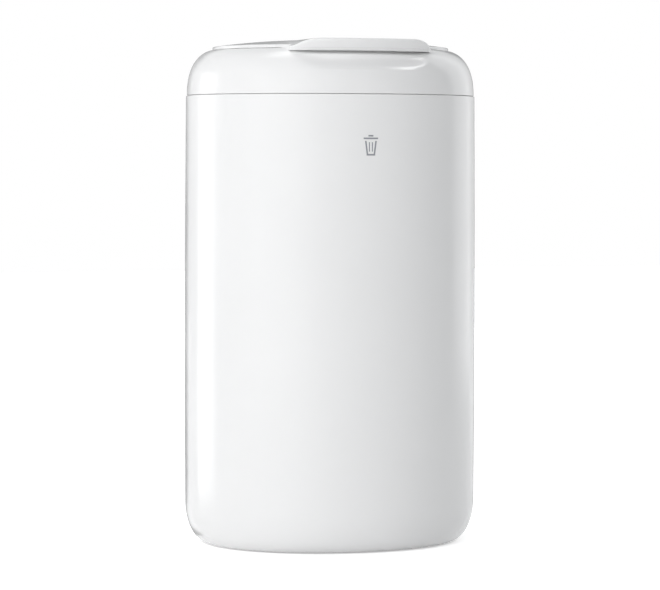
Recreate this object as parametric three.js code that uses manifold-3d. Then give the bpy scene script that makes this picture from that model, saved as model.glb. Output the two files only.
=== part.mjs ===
// Small washroom waste bin: an oval bucket, a lift-off collar and a flap that opens at its front lip.
// Lengths are in millimetres. X runs to the right, Y to the back and Z up from the floor.
import * as THREE from "three";
import { mergeVertices } from "three/addons/utils/BufferGeometryUtils.js";
import Module from "manifold-3d";

const wasm = await Module();
wasm.setup();

// The oval outline that every large piece follows
const halfWidth = 88.3; // the middle to the widest point
const ovalHalfDepth = 76; // the widest line to the front
const backDepth = 64; // the widest line to the flat back
const ovalPower = 2.07; // 2 is a true ellipse, more is squarer
const backBlend = 3; // the flat back runs into the oval over twice this depth
const widestLineY = (ovalHalfDepth - backDepth) / 2;
const around = 56; // facets round the outline
const smallAround = 20; // facets round the small turned pieces

// Heights of the bucket and the seam
const padDrop = 0.4; // the foot pads stand this far below the base
const seamZ = 268.8; // the middle of the seam between bucket and collar
const seamGap = 0.6;
const bucketTop = seamZ - seamGap / 2;
const collarBottom = seamZ + seamGap / 2;

// Bucket
const bucketWall = 2.5;
const bucketFloor = 2.8;
const lowerEdge = { inset: 12.9, height: 24.6, steps: 6 };
const footRing = { width: 17, step: 1.2, recess: 2.2 };
const barrel = { base: 0.2, waist: 0, top: 0.65, waistLow: 70, waistHigh: 160 };
const rimEdge = 0.5; // the small radius on both edges of a rim
const supportRib = { count: 8, thickness: 1.8, reach: 4.2, footReach: 5.2, belowRim: 18.5 };
const ribTop = bucketTop - supportRib.belowRim;
const ribTurnShare = 0.5; // the first rib stands this share of a rib's spacing round from the widest line
const keyhole = {
  halfSpacing: 22,
  centreZ: 214,
  headRadius: 4.6,
  slotRadius: 2.4,
  slotRise: 9,
  headSteps: 16,
  slotSteps: 8,
};

// Foot pads
const footPad = {
  radius: 6.4,
  clearance: 0.1,
  pocket: 1.4,
  chamfer: 0.5,
  fromSide: 48.3,
  fromFront: 34,
  fromBack: 22,
};
const padX = halfWidth - footPad.fromSide;
const padFrontY = widestLineY - ovalHalfDepth + footPad.fromFront;
const padBackY = widestLineY + backDepth - footPad.fromBack;

// Bag ring
const ringClearance = 0.3;
const bagRing = { outerInset: 3.1, innerInset: 9.2, band: 1.8, skirt: 14, edge: 0.5 };
const ringBottom = ribTop + ringClearance;
const ringTop = ringBottom + bagRing.band;
const ringTab = { width: 26, rise: 9, corner: 4, cornerSteps: 5 };

// Collar
const shoulder = { inset: 1.15, reach: 20, rise: 27.5, power: 2.35, steps: 10, flatDrop: 0.7 };
const landZ = seamZ + shoulder.rise - shoulder.flatDrop; // the flat top that the flap closes on
const landStart = 16.3;
const collarWall = 2.4;
const ceilingZ = landZ - collarWall;
const spigot = { inset: 2.9, wall: 1.6, overlap: 1.2 };
const spigotInner = spigot.inset + spigot.wall;
const spigotBottom = ringTop + ringClearance;
const mouth = { inset: 24, backY: 28, lip: 1.6, lipDrop: 4.5, steps: 32 };

// Flap
const flapInset = 16.5;
const flapGap = 0.3;
const flapBottom = landZ + flapGap;
const flapEdge = { height: 1.8, radius: 0.8, steps: 3 };
const crown = { rise: 5.5, power: 2.6, steps: 4 };
const flapSkin = 2.2;
const flapWall = 2;
const flapRib = { thickness: 1.4, linesX: [-30, 0, 30], linesY: [-24, 4], lift: 0.3 };
const flapSkirt = { inset: 26, wall: 1.4, drop: 3.4, rise: 2.6, backClear: 2 };

// Grip lip on the flap
const lip = {
  halfWidth: 43.4,
  flatHalf: 28,
  below: 1.8,
  above: 5.7,
  belowAtEnd: 0.7,
  bottomInset: 5.6,
  faceFlare: 3.4,
  topRound: 1,
  endRound: 2.6,
  endRoundStart: 36,
  gripInset: 10.1,
  rootInset: 42,
  steps: 20,
};
const lipBottom = landZ - lip.below;
const lipTop = landZ + lip.above;

// The lip's front face from the top down, as shares of its flare and of its height
const lipFaceShares = [
  [0.92, 0.04],
  [1, 0.14],
  [0.86, 0.32],
  [0.5, 0.6],
  [0.1, 0.9],
];
// The lip's plate runs into the flap's skin between these shares of its thickness
const lipRootShares = [0.2, 0.7];

// Finger recess in the collar under the lip
const recess = {
  below: 11.8,
  fullBelow: 0.3,
  floorInset: 4.4,
  backInset: 15,
  topHalf: 43.6,
  lowHalf: 38.5,
  widenBy: 8,
  outside: 6,
  endPower: 4,
  steps: 20,
  levels: 6,
};

// Hinge at the back of the flap
const hinge = { y: 38, lift: 1.8, radius: 2.6, halfLength: 48, deckGap: 0.4, plateGap: 3 };
const webTopShare = 0.9; // the web meets the hinge barrel at this share of its radius
const knuckle = { inner: 20, lug: 4.7, gap: 0.3, flapPart: 10 };
const lugStarts = [knuckle.inner, knuckle.inner + knuckle.lug + knuckle.flapPart + 2 * knuckle.gap];
const lugsEnd = lugStarts[1] + knuckle.lug;
const pin = { radius: 1.2, clearance: 0.06, endGap: 0.4 };
const trough = { halfLength: 51, depth: 1.3, backing: 1.6 };
const troughFloor = landZ - trough.depth;
const hingeZ = landZ + hinge.lift;
const hingeY = hinge.y + widestLineY;
const deckY = hingeY + hinge.radius + hinge.deckGap;
const plateBackY = hingeY - hinge.plateGap;

// Rubber stops
const bumper = { fromSide: 38.3, inset: 18.3, radius: 1.8, pocket: 1.6, clearance: 0.1, rise: 0.2 };
const bumperX = halfWidth - bumper.fromSide;

const far = 400; // well outside the bin, for cutting shapes
const overrun = 0.4; // cuts run this far past the faces they open
const hair = 0.001;

const white = new THREE.MeshStandardMaterial({ color: 0xeff0f1, roughness: 0.22, metalness: 0 });
const innerWhite = new THREE.MeshStandardMaterial({ color: 0xe3e4e6, roughness: 0.4, metalness: 0 });
const rubber = new THREE.MeshStandardMaterial({ color: 0x55575a, roughness: 0.85, metalness: 0 });
const steel = new THREE.MeshStandardMaterial({ color: 0xb9bcc0, roughness: 0.3, metalness: 1 });

// A closed solid from vertices and triangles, turned outwards if it is inside out
function closedSolid(vertices, triangles) {
  let volume = 0;
  const corner = (i) => new THREE.Vector3().fromArray(vertices, i * 3);
  for (let i = 0; i < triangles.length; i += 3) {
    const [a, b, c] = [corner(triangles[i]), corner(triangles[i + 1]), corner(triangles[i + 2])];
    volume += a.dot(b.cross(c));
  }
  const turned = volume < 0 ? triangles.slice().reverse() : triangles;
  const shape = new wasm.Mesh({
    numProp: 3,
    vertProperties: new Float32Array(vertices),
    triVerts: new Uint32Array(turned),
  });
  return new wasm.Manifold(shape);
}

// A closed solid from one of the library's geometries
function solidOf(geometry) {
  const bare = geometry.clone();
  bare.deleteAttribute("normal");
  bare.deleteAttribute("uv");
  const welded = mergeVertices(bare, hair);
  return closedSolid(Array.from(welded.attributes.position.array), Array.from(welded.index.array));
}

function meshOf(name, solid, material) {
  const cut = solid.getMesh();
  const positions = new Float32Array(cut.numVert * 3);
  for (let i = 0; i < cut.numVert; i++) {
    positions.set(cut.vertProperties.subarray(i * cut.numProp, i * cut.numProp + 3), i * 3);
  }
  const geometry = new THREE.BufferGeometry();
  geometry.setAttribute("position", new THREE.BufferAttribute(positions, 3));
  geometry.setIndex(new THREE.BufferAttribute(new Uint32Array(cut.triVerts), 1));
  geometry.computeVertexNormals();
  const mesh = new THREE.Mesh(geometry, material);
  mesh.name = name;
  return mesh;
}

const union = (solids) => solids.reduce((sum, next) => sum.add(next));
const signedPower = (value, power) => Math.sign(value) * Math.abs(value) ** power;
const between = (value, low, high) => Math.min(Math.max(value, low), high);

// A span along X on the right, or its mirror image on the left
const onSide = (side, from, to) => (side > 0 ? [from, to] : [-to, -from]);

// Presses y against the flat back, with a smooth run into it
function flattened(y, flatY) {
  if (y < flatY - backBlend) return y;
  if (y > flatY + backBlend) return flatY;
  return y - (y - flatY + backBlend) ** 2 / (4 * backBlend);
}

// One point of the outline, moved inwards by inset and then shrunk by share about the widest line
function outlinePoint(turn, inset, share = 1) {
  const x = (halfWidth - inset) * signedPower(Math.cos(turn), 2 / ovalPower);
  const y = (ovalHalfDepth - inset) * signedPower(Math.sin(turn), 2 / ovalPower);
  return [x * share, flattened(y, backDepth - inset) * share + widestLineY];
}

function outline(inset, share) {
  return Array.from({ length: around }, (_, i) => outlinePoint((i / around) * 2 * Math.PI, inset, share));
}

// The y of the front outline at x, for a given inset
function frontY(x, inset) {
  const left = 1 - (Math.abs(x) / (halfWidth - inset)) ** ovalPower;
  return widestLineY - (ovalHalfDepth - inset) * Math.max(left, 0) ** (1 / ovalPower);
}

// Sweeps a profile of [inset, z, share] round the outline: a closed ring, or a body capped at both ends
function sweep(profile, isRing) {
  const vertices = [];
  const triangles = [];
  for (const [inset, z, share] of profile) {
    for (const [x, y] of outline(inset, share)) vertices.push(x, y, z);
  }
  const bands = isRing ? profile.length : profile.length - 1;
  for (let band = 0; band < bands; band++) {
    const low = band * around;
    const high = ((band + 1) % profile.length) * around;
    for (let i = 0; i < around; i++) {
      const next = (i + 1) % around;
      triangles.push(low + i, low + next, high + next, low + i, high + next, high + i);
    }
  }
  if (!isRing) {
    for (const [row, isStart] of [[0, true], [profile.length - 1, false]]) {
      const centre = vertices.length / 3;
      vertices.push(0, widestLineY, profile[row][1]);
      for (let i = 0; i < around; i++) {
        const [a, b] = [row * around + i, row * around + ((i + 1) % around)];
        triangles.push(...(isStart ? [centre, b, a] : [centre, a, b]));
      }
    }
  }
  return closedSolid(vertices, triangles);
}

const ring = (profile) => sweep(profile, true);
const body = (profile) => sweep(profile, false);

// A loft across the bin through loops of [x, y, z], each at its own x and all of the same length
function loft(loops) {
  const size = loops[0].length;
  const triangles = [];
  for (let k = 0; k + 1 < loops.length; k++) {
    for (let i = 0; i < size; i++) {
      const next = (i + 1) % size;
      const [low, high] = [k * size, (k + 1) * size];
      triangles.push(low + i, low + next, high + next, low + i, high + next, high + i);
    }
  }
  for (const k of [0, loops.length - 1]) {
    const flat = loops[k].map(([, y, z]) => new THREE.Vector2(y, z));
    const isReversed = (k === 0) === THREE.ShapeUtils.isClockWise(flat);
    for (const face of THREE.ShapeUtils.triangulateShape(flat, [])) {
      const corners = face.map((i) => k * size + i);
      triangles.push(...(isReversed ? corners : corners.reverse()));
    }
  }
  return closedSolid(loops.flat(2), triangles);
}

function box([x0, x1], [y0, y1], [z0, z1]) {
  const geometry = new THREE.BoxGeometry(x1 - x0, y1 - y0, z1 - z0);
  geometry.translate((x0 + x1) / 2, (y0 + y1) / 2, (z0 + z1) / 2);
  return solidOf(geometry);
}

// All of space in front of a plane at y, and all behind it
const inFrontOf = (y) => box([-far, far], [-far, y], [-far, far]);
const behind = (y) => box([-far, far], [y, far], [-far, far]);

function extruded(points, depth) {
  const shape = new THREE.Shape(points.map(([x, y]) => new THREE.Vector2(x, y)));
  return new THREE.ExtrudeGeometry(shape, { depth, bevelEnabled: false });
}

// An upright prism on a flat outline of [x, y] points
const prism = (points, z0, z1) => solidOf(extruded(points, z1 - z0).translate(0, 0, z0));

// A slab that stands across Y on an outline of [x, z] points
const slab = (points, y0, y1) => extruded(points, y1 - y0).rotateX(Math.PI / 2).translate(0, y1, 0);

// A turned piece on an upright axis through [x, y], from a profile of [radius, z]
function turned(profile, x, y) {
  const points = profile.map(([r, z]) => new THREE.Vector2(r, z));
  const geometry = new THREE.LatheGeometry(points, smallAround);
  return solidOf(geometry.rotateX(Math.PI / 2).translate(x, y, 0));
}

const cylinder = (radius, x, y, z0, z1) => turned([[0, z0], [radius, z0], [radius, z1], [0, z1]], x, y);

// A cylinder round the hinge axis
function hingeCylinder(radius, [x0, x1]) {
  const geometry = new THREE.CylinderGeometry(radius, radius, x1 - x0, smallAround);
  return solidOf(geometry.rotateZ(Math.PI / 2).translate((x0 + x1) / 2, hingeY, hingeZ));
}

// A quarter turn as [along, across] shares of its two sizes
function quarter(steps) {
  return Array.from({ length: steps + 1 }, (_, i) => {
    const turn = (i / steps) * (Math.PI / 2);
    return [Math.sin(turn), 1 - Math.cos(turn)];
  });
}

const padPlaces = [
  ["foot_pad_front_left", -padX, padFrontY],
  ["foot_pad_front_right", padX, padFrontY],
  ["foot_pad_back_left", -padX, padBackY],
  ["foot_pad_back_right", padX, padBackY],
];

function bucketShell() {
  const footInner = lowerEdge.inset + footRing.width;
  const recessZ = padDrop + footRing.recess;
  const lowFloor = padDrop + bucketFloor;
  const edge = quarter(lowerEdge.steps);
  const edgeInset = (along) => lowerEdge.inset * (1 - along) + barrel.base * along;
  const innerHeight = lowerEdge.height - bucketFloor;
  const outer = edge.map(([along, across]) => [edgeInset(along), padDrop + lowerEdge.height * across]);
  const inner = edge.map(([along, across]) => [
    bucketWall + edgeInset(along),
    lowFloor + innerHeight * across,
  ]);
  const shell = body([
    [footInner + footRing.step, recessZ],
    [footInner, padDrop],
    ...outer,
    [barrel.waist, barrel.waistLow],
    [barrel.waist, barrel.waistHigh],
    [barrel.top, bucketTop - rimEdge],
    [barrel.top + rimEdge, bucketTop],
    [bucketWall - rimEdge, bucketTop],
    [bucketWall, bucketTop - rimEdge],
    [bucketWall, barrel.waistHigh],
    [bucketWall, barrel.waistLow],
    ...inner.reverse(),
    [footInner, lowFloor],
    [footInner + footRing.step, recessZ + bucketFloor],
  ]);
  let solid = union([shell, ...supportRibs()]);
  for (const side of [-1, 1]) solid = solid.subtract(keyholeCut(side * keyhole.halfSpacing));
  for (const [, x, y] of padPlaces) {
    const pocket = footPad.radius + footPad.clearance;
    solid = solid.subtract(cylinder(pocket, x, y, -overrun, padDrop + footPad.pocket));
  }
  return meshOf("bucket_shell", solid, white);
}

// Upright ribs inside the wall, whose tops carry the bag ring
function supportRibs() {
  const low = padDrop + bucketFloor / 2;
  const root = -bucketWall / 2;
  const section = [
    [root, lowerEdge.height],
    [lowerEdge.inset, low],
    [lowerEdge.inset + supportRib.footReach, low],
    [supportRib.footReach, lowerEdge.height],
    [supportRib.reach, ribTop],
    [root, ribTop],
  ];
  return Array.from({ length: supportRib.count }, (_, i) => {
    const turn = ((i + ribTurnShare) / supportRib.count) * 2 * Math.PI;
    const [x, y] = outlinePoint(turn, bucketWall);
    const [nearX, nearY] = outlinePoint(turn + hair, bucketWall);
    const inward = Math.atan2(nearY - y, nearX - x) + Math.PI / 2;
    const rib = slab(section, -supportRib.thickness / 2, supportRib.thickness / 2);
    return solidOf(rib.rotateZ(inward).translate(x, y, 0));
  });
}

// A keyhole slot through the back wall: a round head with a narrower slot above it
function keyholeCut(x) {
  const { centreZ, headRadius, slotRadius, slotRise, headSteps, slotSteps } = keyhole;
  const points = [];
  const meet = Math.asin(slotRadius / headRadius);
  for (let i = 0; i <= headSteps; i++) {
    const turn = Math.PI / 2 + meet + (i / headSteps) * (2 * Math.PI - 2 * meet);
    points.push([x + headRadius * Math.cos(turn), centreZ + headRadius * Math.sin(turn)]);
  }
  for (let i = 0; i <= slotSteps; i++) {
    const turn = (i / slotSteps) * Math.PI;
    points.push([x + slotRadius * Math.cos(turn), centreZ + slotRise + slotRadius * Math.sin(turn)]);
  }
  const backY = backDepth + widestLineY;
  return solidOf(slab(points, backY - 4 * bucketWall, backY + bucketWall));
}

function footPadMesh([name, x, y]) {
  const top = padDrop + footPad.pocket - footPad.clearance;
  const { radius, chamfer } = footPad;
  const profile = [[0, 0], [radius - chamfer, 0], [radius, chamfer], [radius, top], [0, top]];
  return meshOf(name, turned(profile, x, y), rubber);
}

// The hoop that holds the liner's edge, with a lifting tab on each side
function bagRingMesh() {
  const { outerInset, innerInset, band, skirt, edge } = bagRing;
  const hoop = ring([
    [outerInset, ringBottom],
    [outerInset, ringTop - edge],
    [outerInset + edge, ringTop],
    [innerInset - edge, ringTop],
    [innerInset, ringTop - edge],
    [innerInset, ringTop - skirt],
    [innerInset - band, ringTop - skirt],
    [innerInset - band, ringBottom],
  ]);
  const tabWall = ring([
    [innerInset, ringTop - band],
    [innerInset - band, ringTop - band],
    [innerInset - band, ringTop + ringTab.rise],
    [innerInset, ringTop + ringTab.rise],
  ]);
  const tabs = [-1, 1].map((side) => tabWall.intersect(tabShape(side)));
  return meshOf("bag_ring", union([hoop, ...tabs]), innerWhite);
}

// A block with rounded upper corners that trims the tab on one side
function tabShape(side) {
  const { width, rise, corner, cornerSteps } = ringTab;
  const cornerZ = ringTop + rise - corner;
  const arc = quarter(cornerSteps).map(([along, across]) => [across * corner, cornerZ + along * corner]);
  const half = width / 2;
  const points = [
    [-half, ringTop - bagRing.band],
    ...arc.map(([across, z]) => [-half + across, z]),
    ...arc.reverse().map(([across, z]) => [half - across, z]),
    [half, ringTop - bagRing.band],
  ];
  const block = slab(points, 0, halfWidth);
  return solidOf(block.rotateZ((-side * Math.PI) / 2).translate(0, widestLineY, 0));
}

// How far the shoulder has moved in at height z
function shoulderInset(z) {
  const climb = between((z - seamZ) / shoulder.rise, 0, 1);
  const left = (1 - climb ** shoulder.power) ** (1 / shoulder.power);
  return Math.min(shoulder.inset + shoulder.reach * (1 - left), landStart);
}

// The shoulder's curve up to the flat top as [inset, z] points, from an inset, a reach and a rise
function shoulderCurve(inset, reach, rise) {
  return Array.from({ length: shoulder.steps }, (_, i) => {
    const turn = ((i + 1) / (shoulder.steps + 1)) * (Math.PI / 2);
    const along = 1 - Math.cos(turn) ** (2 / shoulder.power);
    return [inset + reach * along, seamZ + rise * Math.sin(turn) ** (2 / shoulder.power)];
  });
}

// The dome that the flap and the fixed strip behind it share, drawn in by inset and lowered by drop
function dome(inset, low, drop) {
  const { height, radius, steps } = flapEdge;
  const edgeTop = flapBottom + height - drop;
  const edge = quarter(steps).map(([along, across]) => [
    inset + radius * across,
    edgeTop - radius * (1 - along),
  ]);
  const rise = Array.from({ length: crown.steps }, (_, i) => {
    const share = Math.max(1 - (i + 1) / crown.steps, hair);
    return [inset + radius, edgeTop + crown.rise * (1 - share ** crown.power), share];
  });
  return body([[inset, low], ...edge, ...rise]);
}

// The height of the flap's outer dome over [x, y], ahead of the widest line
function domeHeight(x, y) {
  const edge = flapInset + flapEdge.radius;
  const wide = (Math.abs(x) / (halfWidth - edge)) ** ovalPower;
  const deep = (Math.abs(y - widestLineY) / (ovalHalfDepth - edge)) ** ovalPower;
  const share = (wide + deep) ** (1 / ovalPower);
  return flapBottom + flapEdge.height + crown.rise * (1 - share ** crown.power);
}

// The finger recess as a solid to take away, or, grown by wall, the backing that closes it behind
function recessSolid(wall) {
  const { below, fullBelow, floorInset, backInset, topHalf, lowHalf, widenBy } = recess;
  const { outside, endPower, steps, levels } = recess;
  const lowZ = landZ - below;
  const bottom = lowZ - wall - overrun;
  const top = landZ + overrun;
  const depthAt = (z) => {
    const climb = between((z - lowZ + wall) / (below - fullBelow), 0, 1);
    return floorInset + wall + (backInset - floorInset) * Math.sin((climb * Math.PI) / 2);
  };
  const halfAt = (z) => {
    const climb = between((z - lowZ) / widenBy, 0, 1);
    return lowHalf + (topHalf - lowHalf) * climb * (2 - climb) + wall;
  };
  const heights = Array.from({ length: levels + 1 }, (_, i) => bottom + ((top - bottom) * i) / levels);
  const loops = Array.from({ length: steps + 1 }, (_, k) => {
    const x = (topHalf + wall) * Math.sin(((2 * k) / steps - 1) * (Math.PI / 2));
    const back = heights.map((z) => {
      const skin = shoulderInset(z);
      const away = Math.min(Math.abs(x) / halfAt(z), 1);
      const deep = Math.max(depthAt(z) - skin, 0) + overrun;
      return [x, frontY(x, skin - overrun + deep * Math.sqrt(1 - away ** endPower)), z];
    });
    const front = heights.map((z) => [x, frontY(x, -outside), z]);
    return [...back, ...front.reverse()];
  });
  return loft(loops);
}

// The oval's front, closed by a straight edge at backY
function mouthOutline(inset, backY) {
  const meet = Math.asin((backY / (ovalHalfDepth - inset)) ** (ovalPower / 2));
  return Array.from({ length: mouth.steps + 1 }, (_, i) => {
    const turn = Math.PI - meet + (i / mouth.steps) * (Math.PI + 2 * meet);
    return outlinePoint(turn, inset);
  });
}

// The collar's outer body, filled
function collarBody() {
  const { inset, reach, rise } = shoulder;
  const isBelowLand = ([at, z]) => at < landStart - rimEdge && z < landZ - rimEdge / 2;
  return body([
    [inset + rimEdge, collarBottom],
    [inset, collarBottom + rimEdge],
    ...shoulderCurve(inset, reach, rise).filter(isBelowLand),
    [landStart, landZ],
  ]);
}

// The space inside the collar
function collarHollow() {
  const { inset, reach, rise } = shoulder;
  const under = shoulderCurve(inset + collarWall, reach - collarWall, rise - collarWall);
  return body([
    [spigotInner, spigotBottom - collarWall],
    ...under.map(([at, z]) => [Math.max(at, spigotInner), z]).filter(([, z]) => z < ceilingZ - rimEdge),
    [landStart + collarWall, ceilingZ],
  ]);
}

// The fixed strip behind the hinge that carries the flap's dome on
function backStrip() {
  const strip = dome(flapInset, ceilingZ, 0).intersect(behind(deckY));
  const hollow = dome(flapInset + flapWall, ceilingZ - collarWall, flapSkin);
  return [strip, hollow.intersect(behind(deckY + flapWall))];
}

// Hinge lugs that stand in the trough and hold the pins
function hingeLugs() {
  const lugs = [];
  for (const side of [-1, 1]) {
    for (const start of lugStarts) {
      const span = onSide(side, start, start + knuckle.lug);
      const depth = [hingeY - hinge.radius, hingeY + hinge.radius];
      lugs.push(hingeCylinder(hinge.radius, span), box(span, depth, [troughFloor - trough.backing, hingeZ]));
    }
  }
  return union(lugs);
}

// The pin's bore, through the lugs and the flap's knuckle on one side
function pinBore(side) {
  return hingeCylinder(pin.radius + pin.clearance, onSide(side, knuckle.inner - overrun, lugsEnd + overrun));
}

function lidCollar() {
  const outer = collarBody();
  const spigotRing = ring([
    [spigot.inset, spigotBottom],
    [spigotInner, spigotBottom],
    [spigotInner, collarBottom + spigot.overlap],
    [spigot.inset, collarBottom + spigot.overlap],
  ]);
  const [strip, stripHollow] = backStrip();
  const { halfLength, backing } = trough;
  const mouthBack = mouth.backY + widestLineY;
  const troughAcross = [-halfLength, halfLength];
  const troughBack = box(troughAcross, [mouthBack, deckY + flapWall], [troughFloor - backing, landZ]);
  const troughCut = box(troughAcross, [mouthBack - overrun, deckY], [troughFloor, far]);
  const mouthCut = prism(mouthOutline(mouth.inset, mouth.backY), 0, far);
  const downTurnOutline = mouthOutline(mouth.inset - mouth.lip, mouth.backY + mouth.lip);
  const downTurn = prism(downTurnOutline, ceilingZ - mouth.lipDrop, ceilingZ + hair);

  const recessBacking = recessSolid(collarWall).intersect(outer);
  let solid = outer.subtract(collarHollow().subtract(recessBacking));
  solid = union([solid, spigotRing, troughBack, downTurn, strip]);
  for (const cut of [stripHollow, troughCut, mouthCut, recessSolid(0)]) solid = solid.subtract(cut);
  solid = solid.add(hingeLugs());
  for (const side of [-1, 1]) {
    const [x, y] = bumperPlace(side);
    const pocket = cylinder(bumper.radius + bumper.clearance, x, y, landZ - bumper.pocket, landZ + overrun);
    solid = solid.subtract(pinBore(side)).subtract(pocket);
  }
  return meshOf("lid_collar", solid, white);
}

const bumperPlace = (side) => [side * bumperX, frontY(bumperX, bumper.inset)];

function bumperMesh(name, side) {
  const [x, y] = bumperPlace(side);
  const low = landZ - bumper.pocket + bumper.clearance;
  return meshOf(name, cylinder(bumper.radius, x, y, low, landZ + bumper.rise), rubber);
}

function hingePin(name, side) {
  const span = onSide(side, knuckle.inner + pin.endGap, lugsEnd - pin.endGap);
  return meshOf(name, hingeCylinder(pin.radius, span), steel);
}

// The grip lip as a loft across the bin, from one rounded end to the other
function gripLip() {
  const pastShare = (x, start) => Math.max(Math.abs(x) - start, 0) / (lip.halfWidth - start);
  const fallen = (share) => Math.sqrt(1 - share * share);
  const endTop = landZ - lip.belowAtEnd;
  const loops = Array.from({ length: lip.steps + 1 }, (_, k) => {
    const x = lip.halfWidth * Math.sin(((2 * k) / lip.steps - 1) * (Math.PI / 2));
    const top = endTop + (lipTop - endTop) * fallen(pastShare(x, lip.flatHalf));
    const bottom = lip.bottomInset + lip.endRound * (1 - fallen(pastShare(x, lip.endRoundStart)));
    return lipSection(x, bottom, top);
  });
  return loft(loops);
}

// The lip's cross-section at x: the top, the flared face, the grip and the root in the flap's skin
function lipSection(x, bottom, top) {
  const { topRound, gripInset, rootInset } = lip;
  const face = top - lipBottom;
  const flared = (lip.faceFlare * face) / (lipTop - lipBottom);
  const wallMiddle = flapInset + flapWall / 2;
  const rootZ = domeHeight(x, frontY(x, rootInset));
  const [rootHigh, rootLow] = lipRootShares.map((share) => rootZ - flapSkin * share);
  const section = [
    [rootInset, rootHigh],
    [gripInset + rimEdge, Math.max(top, flapBottom + rimEdge)],
    [bottom - flared + topRound, top],
    ...lipFaceShares.map(([flare, fall]) => [bottom - flared * flare, top - face * fall]),
    [bottom + rimEdge, lipBottom],
    [gripInset, lipBottom],
    [gripInset + rimEdge, flapBottom],
    [wallMiddle, flapBottom],
    [rootInset, rootLow],
  ];
  return section.map(([inset, z]) => [x, frontY(x, inset), z]);
}

// The rolled edge that turns on the pins, with the web that joins it to the flap
function rolledEdge() {
  const across = [-hinge.halfLength, hinge.halfLength];
  const webTop = hingeZ + hinge.radius * webTopShare;
  const web = box(across, [plateBackY - flapWall, hingeY], [flapBottom, webTop]);
  let rolled = hingeCylinder(hinge.radius, across).add(web);
  for (const side of [-1, 1]) {
    for (const start of lugStarts) {
      const notch = onSide(side, start - knuckle.gap, start + knuckle.lug + knuckle.gap);
      rolled = rolled.subtract(box(notch, [plateBackY, far], [0, far]));
    }
  }
  return rolled;
}

// Ribs that cross under the flap
function flapRibs() {
  const half = flapRib.thickness / 2;
  const upright = [flapBottom + flapRib.lift, far];
  const lengthwise = flapRib.linesX.map((x) => box([x - half, x + half], [-far, far], upright));
  const crosswise = flapRib.linesY.map((line) => {
    const y = line + widestLineY;
    return box([-far, far], [y - half, y + half], upright);
  });
  const room = dome(flapInset + flapWall / 2, flapBottom, flapSkin / 2);
  return union([...lengthwise, ...crosswise]).intersect(room).intersect(inFrontOf(plateBackY - flapWall / 2));
}

// The short wall under the flap that stands in the lid's mouth
function skirtWall() {
  const { inset, wall, drop, rise, backClear } = flapSkirt;
  const full = ring([
    [inset, flapBottom - drop],
    [inset, flapBottom + rise],
    [inset + wall, flapBottom + rise],
    [inset + wall, flapBottom - drop],
  ]);
  return full.intersect(inFrontOf(mouth.backY + widestLineY - backClear));
}

function flapMesh() {
  const plate = dome(flapInset, flapBottom, 0).intersect(inFrontOf(plateBackY));
  const hollow = dome(flapInset + flapWall, flapBottom - flapSkin, flapSkin);
  let solid = plate.subtract(hollow.intersect(inFrontOf(plateBackY - flapWall)));
  solid = union([solid, gripLip(), flapRibs(), skirtWall(), rolledEdge()]);
  for (const side of [-1, 1]) solid = solid.subtract(pinBore(side));
  return meshOf("flap", solid, white);
}

const bin = new THREE.Group();
bin.name = "waste_bin";
bin.add(bucketShell(), ...padPlaces.map(footPadMesh), bagRingMesh(), lidCollar());
bin.add(hingePin("hinge_pin_left", -1), hingePin("hinge_pin_right", 1));
bin.add(bumperMesh("bumper_left", -1), bumperMesh("bumper_right", 1), flapMesh());

export default bin;
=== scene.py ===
# A small oval washroom bin in white plastic: bucket, lift-off collar, flap with a grip lip, liner ring.
import math

import bmesh
import bpy
from mathutils import Matrix, Vector


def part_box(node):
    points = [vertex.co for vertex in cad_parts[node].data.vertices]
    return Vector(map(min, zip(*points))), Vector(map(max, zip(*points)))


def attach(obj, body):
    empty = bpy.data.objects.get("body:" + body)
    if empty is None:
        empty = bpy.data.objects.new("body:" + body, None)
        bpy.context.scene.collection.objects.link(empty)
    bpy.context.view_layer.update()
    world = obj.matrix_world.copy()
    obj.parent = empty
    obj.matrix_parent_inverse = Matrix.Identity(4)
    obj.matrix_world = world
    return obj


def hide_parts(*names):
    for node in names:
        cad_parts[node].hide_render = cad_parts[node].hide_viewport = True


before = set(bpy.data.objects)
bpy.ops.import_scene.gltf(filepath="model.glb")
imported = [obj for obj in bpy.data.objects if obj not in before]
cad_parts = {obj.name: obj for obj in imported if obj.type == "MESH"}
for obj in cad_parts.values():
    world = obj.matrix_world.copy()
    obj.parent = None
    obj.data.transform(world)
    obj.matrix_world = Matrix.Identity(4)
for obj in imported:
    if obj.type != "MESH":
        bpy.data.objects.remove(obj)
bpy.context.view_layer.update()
print("frame loaded:", ", ".join(sorted(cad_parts)))

mm = 0.001  # the bin's own lengths are in millimetres, and the mesh makers turn them into metres
shellLow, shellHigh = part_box("bucket_shell")
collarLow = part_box("lid_collar")[0]
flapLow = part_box("flap")[0]
ringLow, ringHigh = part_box("bag_ring")

# The oval outline that the large mouldings share
oval = {
    "halfWidth": (shellHigh[0] - shellLow[0]) / 2 / mm,
    "frontDepth": 76.0,  # widest line to the front
    "backDepth": 64.0,  # widest line to the flat back
    "power": 2.07,
    "blend": 3.0,
    "widestY": 6.0,
    "around": 288,
}


def clamped(value):
    return min(max(value, 0), 1)


def smoothStep(value):
    value = clamped(value)
    return value * value * (3 - 2 * value)


def smoothMax(a, b, soft):
    overlap = max(soft - abs(a - b), 0)
    return max(a, b) + overlap**2 / (4 * soft)


def signedPower(value, power):
    return math.copysign(abs(value) ** power, value)


def flattened(y, flatY):
    # y held at flatY, with a soft turn just before it
    blend = oval["blend"]
    if y < flatY - blend:
        return y
    if y > flatY + blend:
        return flatY
    return y - (y - flatY + blend) ** 2 / (4 * blend)


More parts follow.
